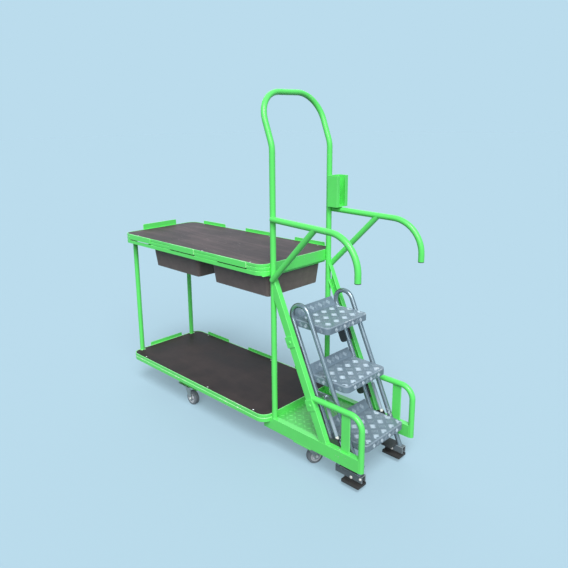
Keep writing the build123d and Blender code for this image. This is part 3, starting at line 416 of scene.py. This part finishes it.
# Castors: pressed and zinc plated forks, bolted axles, grey moulded hubs and grey rubber tyres.
# The rear pair is fixed, and the front pair swivels on a ball race with a king pin.
def metal(name, colour, roughness, grain=240, patch=40, spread=0.18, dusty=0.3, shine=0.95):
    """Bare or plated metal: cloudy tone, fine grain and scuffs."""
    cloud_roughness, scuff_roughness = 0.18, 0.12
    finish, tree, shader = new_finish(name)
    relief = place(tree, "coat_grain", Scale=grain, Patch_Scale=patch)
    tone = mixed_colour(tree, relief["Tone"], toned(colour, 1 - spread), colour)
    scuff = place(tree, "scuffs", Along=12, Across=220, Share=0.3)["Mask"]
    dust = place(tree, "floor_dust", Reach=0.16, Amount=dusty)["Mask"]
    tree.links.new(mixed_colour(tree, dust, tone, rgb(96, 92, 84)), shader["Base Color"])
    tree.links.new(maths(tree, "SUBTRACT", shine, dust), shader["Metallic"])
    clouds = maths(tree, "MULTIPLY", relief["Tone"], cloud_roughness)
    rough = maths(tree, "ADD", clouds, roughness - cloud_roughness / 2)
    rough = maths(tree, "ADD", rough, maths(tree, "MULTIPLY", scuff, scuff_roughness))
    tree.links.new(rough, shader["Roughness"])
    bump = add(tree, "Bump", Strength=0.1, Distance=0.0004, Height=relief["Height"])
    tree.links.new(bump.outputs[0], shader["Normal"])
    return finish


def moulded(
    name, colour, roughness, grain=900, patch=14, spread=0.14, depth=0.2, dusty=0.4, rubs=(9, 130, 90)
):
    """Moulded plastic or rubber: fine texture, cloudy tone, drawn out scuffs, and dust near the floor."""
    scuff_strength, cloud_roughness = 0.3, 0.12
    dust_grey = rgb(130, 126, 118)
    along, across, down = rubs
    finish, tree, shader = new_finish(name)
    relief = place(tree, "coat_grain", Scale=grain, Patch_Scale=patch)
    tone = mixed_colour(tree, relief["Tone"], toned(colour, 1 - spread), toned(colour, 1 + spread))
    scuff = place(tree, "scuffs", Along=along, Across=across, Down=down, Turn=0, Share=0.4)["Mask"]
    rubbed = mixed_colour(tree, maths(tree, "MULTIPLY", scuff, scuff_strength), tone, dust_grey)
    dust = place(tree, "floor_dust", Reach=0.14, Amount=dusty)["Mask"]
    tree.links.new(mixed_colour(tree, dust, rubbed, dust_grey), shader["Base Color"])
    rough = maths(tree, "ADD", roughness, maths(tree, "MULTIPLY", relief["Tone"], cloud_roughness))
    tree.links.new(rough, shader["Roughness"])
    bump = add(tree, "Bump", Strength=depth, Distance=0.0005, Height=relief["Height"])
    tree.links.new(bump.outputs[0], shader["Normal"])
    return finish


def hex_bolt(across, height, washer):
    """A chamfered hexagon head on its washer, standing on the face that it clamps."""
    washer_thickness = 0.0014
    straight, chamfer, chamfer_shrink = 0.78, 0.22, 0.84
    bpy.ops.object.select_all(action="DESELECT")
    bpy.ops.mesh.primitive_circle_add(vertices=20, radius=washer / 2, fill_type="NGON")
    bpy.ops.object.mode_set(mode="EDIT")
    bpy.ops.mesh.extrude_region_move(TRANSFORM_OT_translate={"value": (0, 0, washer_thickness)})
    bpy.ops.mesh.primitive_circle_add(
        vertices=6, radius=across / 2 / cos(pi / 6), fill_type="NGON", location=(0, 0, washer_thickness)
    )
    bpy.ops.mesh.extrude_region_move(TRANSFORM_OT_translate={"value": (0, 0, height * straight)})
    bpy.ops.mesh.extrude_region_move(TRANSFORM_OT_translate={"value": (0, 0, height * chamfer)})
    bpy.ops.transform.resize(value=(chamfer_shrink, chamfer_shrink, 1))
    bpy.ops.mesh.select_all(action="SELECT")
    bpy.ops.mesh.normals_make_consistent(inside=False)
    bpy.ops.object.mode_set(mode="OBJECT")
    bpy.ops.object.shade_smooth_by_angle(angle=radians(30))
    return bpy.context.object


zinc = metal("zinc", rgb(184, 186, 184), roughness=0.34, patch=120, spread=0.4, dusty=0.15, shine=0.85)
bright_zinc = metal("bright_zinc", rgb(246, 247, 246), roughness=0.28, dusty=0.05, shine=0.5)
hub_grey = moulded("hub_grey", rgb(206, 214, 221), roughness=0.42, dusty=0.1)
tyre_grey = moulded("tyre_grey", rgb(113, 123, 131), roughness=0.6, depth=0.35, dusty=0.1)
for node, body, finish in (
    ("rear_castor_forks", "frame", zinc),
    ("rear_axles", "frame", bright_zinc),
    ("swivel_bases", "frame", zinc),
    ("front_fork_right", "front_castor_right", zinc),
    ("front_fork_left", "front_castor_left", zinc),
    ("front_axle_right", "front_castor_right", bright_zinc),
    ("front_axle_left", "front_castor_left", bright_zinc),
):
    skinned(node, body, "zinc", finish, radius=0.0006)
for end in ("rear", "front"):
    for side in ("right", "left"):
        skinned(f"{end}_hub_{side}", f"{end}_wheel_{side}", "hub_grey", hub_grey, radius=0.0007)
        dress(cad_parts[f"{end}_tyre_{side}"], tyre_grey)
to_floor = (0, 0, -1)
bolt_half_width = 0.029
rear_plate = {"middle": -0.37795, "half": 0.175, "bolt_half_length": 0.041, "under": 0.115}
front_plate = {"middle": 0.509, "half": 0.160, "bolt_half_length": 0.037, "under": 0.110}
places = []
for plate in (rear_plate, front_plate):
    for side in (-1, 1):
        for end in (-1, 1):
            for edge in (-1, 1):
                x = plate["middle"] + plate["bolt_half_length"] * end
                y = side * plate["half"] + bolt_half_width * edge
                places.append((Vector((x, y, plate["under"])), to_front, to_floor))
bolt = hex_bolt(across=0.010, height=0.0045, washer=0.016)
settle(spread_out(bolt, "castor_bolts", places, bright_zinc), "frame", "zinc")


# Deck rims and lips: folded and rolled steel round each board, with plates along the sides and at the rear,
# and the runners of the trays. Welded to the posts and powder coated with the frame. The edges of the rims
# and of the upper plates are knocked white in places by boxes, and are a paler green all along, which is a
# painted highlight.
# A paler green along the rims' and upper plates' edges is a painted highlight; its white chips are wear.
knocked_and_highlit_edge = painted(
    "knocked_and_highlit_edge", rgb(156, 248, 160), rgb(226, 243, 222), roughness=0.36, chipped=0.55, coat=0.2
)
for node, radius, edge in (
    ("lower_deck_rim", 0.0021, knocked_and_highlit_edge),
    ("upper_deck_rim", 0.0021, knocked_and_highlit_edge),
    ("lower_lips", 0.001, highlit_edge),
    ("upper_lips", 0.001, knocked_and_highlit_edge),
    ("tray_runners", 0.0008, highlit_edge),
):
    skinned(node, "frame", "frame_green", frame_green, edge, radius)


# Deck boards: film-faced plywood on the ledges of the rims, held by socket screws along the long edges.
# Dark brown film with a fine wire imprint. The upper one is worn grey mostly in long streaks, the lower
# one mostly in clouds.
def film_faced(name, dark, pale, streaks, clouds, scratches):
    """Film on plywood: clouds and long streaks of wear, fine scratches, and the press wire's imprint."""
    broad_share, narrow_share, scratch_share = 0.6, 0.4, 0.5
    film_roughness, worn_roughness, worn_depth = 0.5, 0.2, 0.6
    bared, bared_lift = 1.5, 0.02
    finish, tree, shader = new_finish(name)
    spot = add(tree, "TexCoord").outputs["Object"]
    relief = place(tree, "coat_grain", Scale=420, Patch_Scale=4.5)
    broad = place(tree, "scuffs", Along=2.2, Across=17, Turn=0.06, Share=0.95, Soft=0.3)["Mask"]
    narrow = place(tree, "scuffs", Along=5, Across=70, Turn=-0.05, Share=0.7, Soft=0.2)["Mask"]
    scratch = place(tree, "scuffs", Along=11, Across=330, Turn=0.5, Share=scratches, Soft=0.06)["Mask"]
    cloud = add(tree, "MapRange", soft_step, Value=relief["Tone"], From_Min=0.32, From_Max=0.68)
    broad = maths(tree, "MULTIPLY", broad, broad_share)
    narrow = maths(tree, "MULTIPLY", narrow, narrow_share)
    drawn = maths(tree, "MULTIPLY", maths(tree, "ADD", broad, narrow), streaks)
    worn = maths(tree, "ADD", drawn, maths(tree, "MULTIPLY", cloud.outputs[0], clouds))
    film = mixed_colour(tree, worn, dark, pale)
    scratched = maths(tree, "MULTIPLY", scratch, scratch_share)
    tree.links.new(mixed_colour(tree, scratched, film, toned(pale, bared, bared_lift)), shader["Base Color"])
    rough = maths(tree, "ADD", film_roughness, maths(tree, "MULTIPLY", worn, worn_roughness))
    tree.links.new(rough, shader["Roughness"])
    shader["Specular IOR Level"].default_value = 0.08
    wire = add(tree, "TexVoronoi", Vector=spot, Scale=330)
    flattened = maths(tree, "MULTIPLY", maths(tree, "ADD", worn, scratch), worn_depth)
    deep = maths(tree, "SUBTRACT", wire.outputs[0], flattened)
    bump = add(tree, "Bump", Strength=0.15, Distance=0.0004, Height=deep)
    tree.links.new(bump.outputs[0], shader["Normal"])
    return finish


def socket_screw(width, height):
    """A sunk screw head: a low dome with a round socket pressed into it."""
    dome_and_socket = ((0.72, 1), (0.2, 0.92), (0.08, 0.78), (0, 0.62), (-0.5, 0.94))
    bpy.ops.object.select_all(action="DESELECT")
    bpy.ops.mesh.primitive_circle_add(vertices=20, radius=width / 2, fill_type="NGON")
    bpy.ops.object.mode_set(mode="EDIT")
    bpy.ops.transform.translate(value=(0, 0, -height))
    for rise, shrink in dome_and_socket:
        bpy.ops.mesh.extrude_region_move(TRANSFORM_OT_translate={"value": (0, 0, height * rise)})
        bpy.ops.transform.resize(value=(shrink, shrink, 1))
    bpy.ops.mesh.select_all(action="SELECT")
    bpy.ops.mesh.normals_make_consistent(inside=False)
    bpy.ops.object.mode_set(mode="OBJECT")
    bpy.ops.object.shade_smooth_by_angle(angle=radians(40))
    return bpy.context.object


lower_film = film_faced(
    "lower_board", rgb(44, 38, 38), rgb(73, 65, 65), streaks=0.3, clouds=0.6, scratches=0.2
)
upper_film = film_faced(
    "upper_board", rgb(64, 54, 55), rgb(118, 106, 108), streaks=0.7, clouds=0.3, scratches=0.4
)
skinned("lower_deck_board", "frame", "lower_board", lower_film, radius=0.001)
skinned("upper_deck_board", "frame", "upper_board", upper_film, radius=0.001)
screw_places_x = (-0.71095, -0.13095, 0.21905)
screw_half = 0.2385
screw_tops = (0.1998, 0.9408)
places = [
    (Vector((x, side * screw_half, top)), to_front, to_top)
    for x in screw_places_x for side in (-1, 1) for top in screw_tops
]
screws = spread_out(socket_screw(width=0.010, height=0.003), "deck_screw_heads", places, bright_zinc)
settle(screws, "frame", "zinc", "deck_screws")


# Posts, hoop, handrails, braces and guards: bent steel tube and flat bars, welded and powder coated, with
# plastic plugs in the handrails' ends. The hoop runs from rail to rail over the deck. The pocket on its
# left leg and the ladder's guides are folded sheet with the same coat.
def weld_bead(radius, bead):
    """A weld round the foot of a tube: a small circle spun about it, drawn in at every third step."""
    steps, pool, draw_in = 48, 3, 0.22
    bpy.ops.object.select_all(action="DESELECT")
    bpy.ops.mesh.primitive_circle_add(
        vertices=8, radius=bead, rotation=(pi / 2, 0, 0), location=(radius, 0, 0)
    )
    ring = bpy.context.object
    bpy.ops.object.transform_apply(location=True, rotation=True, scale=True)
    bpy.ops.object.mode_set(mode="EDIT")
    bpy.ops.mesh.select_mode(type="VERT")
    bpy.ops.mesh.select_all(action="SELECT")
    bpy.ops.mesh.spin(steps=steps, angle=2 * pi, center=(0, 0, 0), axis=(0, 0, 1))
    bpy.ops.mesh.select_all(action="SELECT")
    bpy.ops.mesh.remove_doubles(threshold=0.00001)
    bpy.ops.mesh.normals_make_consistent(inside=False)
    bpy.ops.mesh.select_all(action="DESELECT")
    bpy.ops.object.mode_set(mode="OBJECT")
    for corner in ring.data.vertices:
        step = round(atan2(corner.co.y, corner.co.x) * steps / (2 * pi))
        corner.select = step % pool == 0
    bpy.ops.object.mode_set(mode="EDIT")
    bpy.ops.transform.shrink_fatten(value=-draw_in * bead)
    bpy.ops.object.mode_set(mode="OBJECT")
    bpy.ops.object.shade_smooth()
    return ring


for node in (
    "hoop_post", "rear_post_right", "rear_post_left", "handrail_right", "handrail_left", "handrail_braces",
    "guard_hoop_right", "guard_hoop_left",
):
    dress(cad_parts[node], frame_green)
hoop_foot_x, hoop_foot_half, hoop_weld_z = 0.324, 0.195, 0.1803
weld_sink = 0.0005
places = []
for side, post in ((-1, "rear_post_right"), (1, "rear_post_left")):
    places.append((Vector((hoop_foot_x, side * hoop_foot_half, hoop_weld_z)), to_front, to_top))
    low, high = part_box(post)
    middle = (low + high) / 2
    for z in (low.z + weld_sink, high.z - weld_sink):
        places.append((Vector((middle.x, middle.y, z)), to_front, to_top))
welds = spread_out(weld_bead(radius=0.0134, bead=0.0019), "post_welds", places, frame_green)
settle(welds, "frame", "frame_green")
plug_black = moulded("plug_black", rgb(36, 38, 38), roughness=0.5, dusty=0)
skinned("handrail_plugs", "frame", "plug_black", plug_black, radius=0.001)
for node, radius in (
    ("scanner_holder", 0.0007),
    ("guide_channel_right", 0.0013),
    ("guide_channel_left", 0.0013),
    ("guide_straps", 0.0012),
    ("guard_bars", 0.0015),
):
    skinned(node, "frame", "frame_green", frame_green, highlit_edge, radius)


# Trays: two vacuum formed tubs that hang by their flanges on runners under the upper deck and slide out to
# the right. Brown-grey plastic with a fine grain and dusty scuffs.
tray_plastic = moulded(
    "tray_plastic", rgb(112, 102, 100), roughness=0.6, grain=500, patch=26, spread=0.34, depth=0.25, dusty=0,
    rubs=(6, 6, 120),
)
skinned("tray_front", "front_tray", "tray_plastic", tray_plastic, radius=0.0011)
skinned("tray_rear", "rear_tray", "tray_plastic", tray_plastic, radius=0.0011)


# Ladder sides: each a bent steel tube, both legs and the bow in one, with guide pins and strut lug welded
# on, and nylon blocks on the pins. Satin blue-grey metallic coat, which takes a bright streak from the lamp
# and goes dark at its edges.
ladder_grey = painted(
    "ladder_grey", rgb(142, 156, 164), rgb(190, 198, 202), roughness=0.26, chipped=0.1, grain=700, patch=9
)
coat = ladder_grey.node_tree.nodes["Principled BSDF"].inputs
coat["Metallic"].default_value = 0.7
coat["Specular Tint"].default_value = (0.3, 0.3, 0.3, 1)
for node in ("ladder_side_right", "ladder_side_left"):
    dress(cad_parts[node], ladder_grey)
dress(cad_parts["guide_blocks"], moulded("guide_nylon", rgb(44, 45, 47), roughness=0.5))


# Treads: five-bar chequer plate folded down at the front and sides and up at the rear, welded between the
# ladder sides. Blue-grey, with groups of bars painted paler than the plate, those one way paler than those
# the other way: a painted highlight and sheen. Under each are dark gussets, and under the upper two a dark
# plate runs down the inner side of each rear leg, which is painted shade.
def grouped(spots, bars, pitch):
    """The places of the bars in groups, a group given as its centre, its bars' run and its outward way."""
    places = []
    for centre, run, outward in spots:
        across = Vector(outward).cross(Vector(run)).normalized()
        for bar in range(bars):
            places.append((centre + across * pitch * (bar - (bars - 1) / 2), run, outward))
    return places


tread_grey = painted(
    "tread_grey", rgb(114, 134, 149), rgb(170, 178, 184), roughness=0.42, chipped=0.16, coat=0.1, patch=30,
    spread=0.3,
)
tread_edge = painted(
    "tread_edge", rgb(136, 155, 169), rgb(196, 208, 214), roughness=0.38, chipped=0.4, patch=60, spread=0.45
)
# The bars are paler than the plate as a painted highlight, and those that run one way are paler than the
# others as a painted sheen; the skirt bars are paler too.
highlit_mark = painted(
    "bright_marks", rgb(171, 192, 206), rgb(204, 215, 220), roughness=0.34, chipped=0.3, patch=34, spread=0.3
)
less_highlit_mark = painted(
    "dull_marks", rgb(143, 163, 177), rgb(190, 200, 206), roughness=0.36, chipped=0.2, patch=34, spread=0.25
)
skirt_mark = painted(
    "skirt_marks", rgb(170, 190, 203), rgb(206, 216, 222), roughness=0.36, chipped=0.3, patch=60, spread=0.35
)
gusset_dark = painted("gusset_dark", rgb(52, 56, 61), rgb(120, 124, 128), roughness=0.42, chipped=0.15)

slope = radians(24.3)
leg_foot_x = 0.7218
tread_depth, tread_half = 0.195, 0.147
group_pitch_x, group_pitch_y, dull_shift = 0.0605, 0.059, 0.03
bar_length, bar_width, bar_height, bar_corners = 0.027, 0.0046, 0.0015, 8
bars_in_group, bar_pitch = 5, 0.0064
slant_reach, fold_clear = 0.36, 0.0062
corner_inset, corner_reach = 0.025, 0.0385
upstand_x, upstand_z = 0.78, 0.62
upstand_back, upstand_rise, upstand_shift, upstand_half = 0.0115, 0.0175, 0.015, 0.115
skirt_pitch, skirt_drop = 0.0295, 0.019
skirt_side_marks = ((0.036, 1), (0.0655, -1), (0.154, 1))
small_bars, upstand_bar_pitch, skirt_bar_pitch = 4, 0.006, 0.005
least_fold, most_fold = 0.15, 0.98
treads = (
    ("tread_lower", 0.214, -0.005, 0.0127),
    ("tread_middle", 0.452, -0.0038, -0.0205),
    ("tread_upper", 0.690, 0.0347, 0.018),
)


def fits(x, y, length):
    """Whether a bar, so far from the rear and the middle of its tread, stays clear of the folds."""
    clear = slant_reach * length + fold_clear
    corner = Vector((x - tread_depth + corner_inset, y - tread_half + corner_inset))
    past_corner = min(corner) > 0 and corner.length > corner_reach - clear
    return clear < x < tread_depth - clear and y < tread_half - clear and not past_corner


for name, top, first_x, first_y in treads:
    tread = skinned(name, "ladder", "tread_grey", tread_grey, tread_edge, radius=0.0006)
    for face in tread.data.polygons:
        if least_fold < face.normal.z < most_fold and face.center.z < top:
            face.material_index = 1
    rear = leg_foot_x - tan(slope) * top
    for kind, shift, turn, finish in (
        ("_highlit_marks", 0, 1, highlit_mark),
        ("_less_highlit_marks", dull_shift, -1, less_highlit_mark),
    ):
        spots = []
        for step in range(-2, 3):
            y = group_pitch_y * step + shift - upstand_shift
            if abs(y) < upstand_half:
                spot = Vector((rear - upstand_back, y, top + upstand_rise))
                run = (-upstand_z * turn, 1, upstand_x * turn)
                spots.append((spot, run, (upstand_x, 0, upstand_z)))
        mark = raised_mark(length=0.020, width=0.0042, height=0.0013, corners=bar_corners)
        places = grouped(spots, small_bars, upstand_bar_pitch)
        settle(spread_out(mark, name + kind + "_upright", places, finish), "ladder", "tread_grey")

        spots = []
        for row in range(-1, 5):
            for column in range(-4, 5):
                x = rear + first_x + group_pitch_x * row + shift
                y = first_y + group_pitch_y * column + shift
                spots.append((Vector((x, y, top)), (1, turn, 0), to_top))
        whole, cut = [], []
        for middle, run, outward in grouped(spots, bars_in_group, bar_pitch):
            half_cut = Vector(run).normalized() * bar_length / 4
            for kept, length, moved in (
                (whole, bar_length, 0),
                (cut, bar_length / 2, -1),
                (cut, bar_length / 2, 1),
            ):
                centre = middle + half_cut * moved
                if fits(centre.x - rear, abs(centre.y), length):
                    kept.append((centre, run, outward))
                    break
        for places, length, part in ((whole, bar_length, ""), (cut, bar_length / 2, "_cut")):
            mark = raised_mark(length, bar_width, bar_height, bar_corners)
            settle(spread_out(mark, name + kind + part, places, finish), "ladder", "tread_grey")

    spots = []
    for step in range(-3, 4):
        turn = 1 if step % 2 else -1
        spot = Vector((rear + tread_depth, skirt_pitch * step, top - skirt_drop))
        spots.append((spot, (0, 1, turn), to_front))
    for side in (-1, 1):
        for x, turn in skirt_side_marks:
            spot = Vector((rear + x, side * tread_half, top - skirt_drop))
            spots.append((spot, (1, 0, turn), (0, side, 0)))
    mark = raised_mark(length=0.017, width=0.0036, height=0.0012, corners=bar_corners)
    places = grouped(spots, small_bars, skirt_bar_pitch)
    settle(spread_out(mark, name + "_skirt_marks", places, skirt_mark), "ladder", "tread_grey")
skinned("tread_gussets", "ladder", "gusset_dark", gusset_dark, radius=0.0008)


def cut_plate(length, width, thickness, corner):
    """A flat plate with round corners and softened edges, lying on its face."""
    bpy.ops.object.select_all(action="DESELECT")
    bpy.ops.mesh.primitive_plane_add(size=1)
    bpy.ops.object.mode_set(mode="EDIT")
    bpy.ops.transform.resize(value=(length, width, 1))
    bpy.ops.mesh.bevel(offset=corner, segments=4, affect="VERTICES")
    bpy.ops.mesh.select_all(action="SELECT")
    bpy.ops.mesh.extrude_region_move(TRANSFORM_OT_translate={"value": (0, 0, thickness)})
    bpy.ops.mesh.select_all(action="SELECT")
    bpy.ops.mesh.normals_make_consistent(inside=False)
    bpy.ops.object.mode_set(mode="OBJECT")
    return rounded(bpy.context.object, radius=0.0006)


downhill = Vector((sin(slope), 0, -cos(slope)))
behind = Vector((-cos(slope), 0, -sin(slope)))
# Dark plates down the inner side of each rear leg under the upper two treads: painted shade along the legs.
leg_shade_drop, leg_shade_half, leg_shade_back = 0.106, 0.147, 0.0185
places = []
for name, top, first_x, first_y in treads[1:]:
    for side in (-1, 1):
        z = top - leg_shade_drop
        leg = Vector((leg_foot_x - tan(slope) * z, side * leg_shade_half, z))
        places.append((leg + behind * leg_shade_back, downhill, (0, -side, 0)))
leg_shade_plate = cut_plate(length=0.148, width=0.041, thickness=0.003, corner=0.014)
settle(spread_out(leg_shade_plate, "leg_shade_plates", places, gusset_dark), "ladder", "gusset_dark")


# Ladder feet: open channels welded under the legs, each with a dark plate on top, and a rubber pad on
# a core, held by cross bolts. Channels dull blue-grey, pads black rubber with cross ribs, bolt heads pale
# zinc.
foot_grey = painted(
    "foot_grey", rgb(92, 105, 113), rgb(170, 178, 184), roughness=0.4, chipped=0.2, grain=700, patch=20,
    spread=0.25,
)
foot_edge = painted("foot_edge", rgb(168, 182, 190), rgb(206, 216, 220), roughness=0.36, chipped=0.3)
pad_rubber = moulded("pad_rubber", rgb(30, 31, 33), roughness=0.6, depth=0.4, dusty=0.2)
bolt_light = moulded("bolt_light", rgb(240, 242, 240), roughness=0.3, spread=0.06, dusty=0.1)
skinned("foot_channels", "ladder", "ladder_grey", foot_grey, foot_edge, radius=0.001)
skinned("foot_pads", "ladder", "pad_rubber", pad_rubber, radius=0.0012)
skinned("foot_bolts", "ladder", "bolt_light", bolt_light, radius=0.0022, segments=3)

end_bolt_x, end_bolt_half, end_bolt_z = 0.811, 0.172, 0.0665
places = [
    (Vector((end_bolt_x, side * end_bolt_half, end_bolt_z)), to_front, (0, side, 0)) for side in (-1, 1)
]
bolt = hex_bolt(across=0.009, height=0.004, washer=0.013)
settle(spread_out(bolt, "foot_end_bolts", places, bolt_light), "ladder", "bolt_light")

top_plate_x, top_plate_half, top_plate_z = 0.7515, 0.1365, 0.080
places = [(Vector((top_plate_x, side * top_plate_half, top_plate_z)), to_front, to_top) for side in (-1, 1)]
top_plate = cut_plate(length=0.066, width=0.071, thickness=0.005, corner=0.004)
settle(spread_out(top_plate, "foot_top_plates", places, gusset_dark), "ladder", "gusset_dark")

ribs, rib_pitch, first_rib_x = 14, 0.006, 0.727
pad_half, rib_offset, pad_top = 0.158, 0.0205, 0.034
places = []
for side in (-1, 1):
    for edge in (-1, 1):
        for rib in range(ribs):
            x = first_rib_x + rib_pitch * rib
            places.append((Vector((x, side * pad_half + edge * rib_offset, pad_top)), (0, 1, 0), to_top))
rib = raised_mark(length=0.012, width=0.0034, height=0.0013, corners=8)
settle(spread_out(rib, "pad_ribs", places, pad_rubber), "ladder", "pad_rubber")


# Lift struts: sealed cylinders pinned to the rails, with polished rods that carry the ladder.
# Light grey coat, white end caps, dark anchors on dark plates that stand on the inner sides of the rails;
# the dark plates are painted shade round the foot of each strut.
strut_light = painted(
    "strut_light", rgb(160, 177, 192), rgb(200, 204, 206), roughness=0.3, chipped=0.1, coat=0.2
)
cap_white = moulded("cap_white", rgb(232, 233, 228), roughness=0.45, dusty=0.1)
rod_chrome = metal("rod_chrome", rgb(215, 217, 220), roughness=0.16, grain=700, spread=0.06)
skinned("strut_cylinders", "frame", "strut_light", strut_light, radius=0.0006)
skinned("strut_caps", "frame", "cap_white", cap_white, radius=0.0008)
skinned("strut_anchors", "frame", "gusset_dark", gusset_dark, radius=0.0006)
# Dark plates on the inner sides of the rails: painted shade round the foot of each strut.
strut_shade_x, strut_shade_half, strut_shade_z = 0.682, 0.180, 0.164
places = [
    (Vector((strut_shade_x, side * strut_shade_half, strut_shade_z)), downhill, (0, -side, 0)) for side in (-1, 1)
]
plate = cut_plate(length=0.084, width=0.052, thickness=0.004, corner=0.006)
settle(spread_out(plate, "strut_shade_plates", places, gusset_dark), "frame", "gusset_dark")
dress(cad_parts["strut_rods"], rod_chrome)
